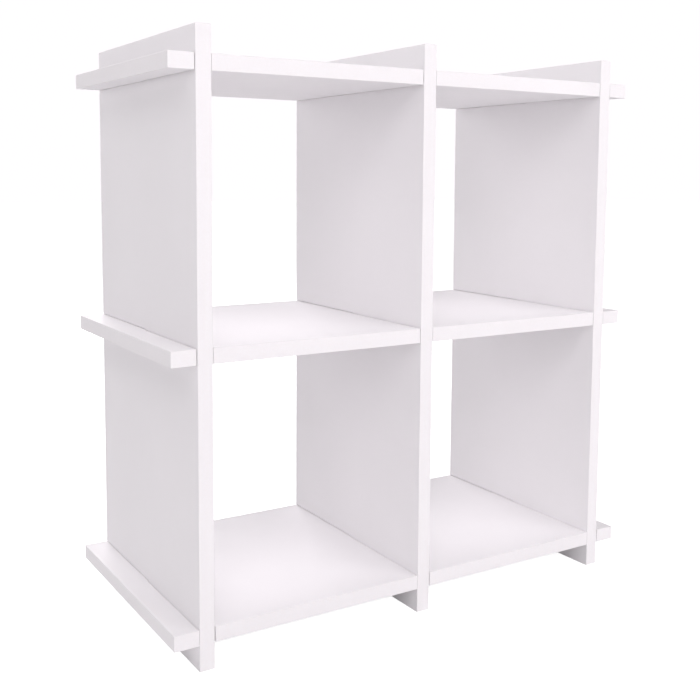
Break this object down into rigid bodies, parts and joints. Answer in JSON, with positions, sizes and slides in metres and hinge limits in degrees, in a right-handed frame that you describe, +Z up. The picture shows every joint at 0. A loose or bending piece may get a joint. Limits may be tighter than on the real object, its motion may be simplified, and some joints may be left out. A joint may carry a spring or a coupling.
{
  "type": "miniature bookcase",
  "caption": "Open-backed miniature bookcase of flat white boards that slot together in cross-halved joints, for dolls house books and ornaments.",
  "frame": {"origin": "middle of the footprint, on the floor under the middle upright", "axes": "+Z up, +X to the right seen from the front, +Y from the front to the back"},
  "size_m": [0.1102, 0.052, 0.116],
  "materials": {
    "upright_board": "smooth white paint on fibreboard, satin",
    "shelf_board": "smooth white paint on fibreboard, satin"
  },
  "bodies": {
    "middle_upright": {"middle_upright": "upright_board"},
    "left_upright": {"left_upright": "upright_board"},
    "right_upright": {"right_upright": "upright_board"},
    "bottom_shelf": {"bottom_shelf": "shelf_board"},
    "middle_shelf": {"middle_shelf": "shelf_board"},
    "top_shelf": {"top_shelf": "shelf_board"}
  },
  "joints": [
    {"name": "bottom_shelf_slide", "type": "slide", "parent": "middle_upright", "child": "bottom_shelf", "axis": [0, 1, 0], "range_m": [0, 0.056]},
    {"name": "middle_shelf_slide", "type": "slide", "parent": "middle_upright", "child": "middle_shelf", "axis": [0, 1, 0], "range_m": [0, 0.056]},
    {"name": "top_shelf_slide", "type": "slide", "parent": "middle_upright", "child": "top_shelf", "axis": [0, 1, 0], "range_m": [0, 0.056]},
    {"name": "left_upright_slide", "type": "slide", "parent": "middle_upright", "child": "left_upright", "axis": [0, -1, 0], "range_m": [0, 0.056]},
    {"name": "right_upright_slide", "type": "slide", "parent": "middle_upright", "child": "right_upright", "axis": [0, -1, 0], "range_m": [0, 0.056]}
  ]
}
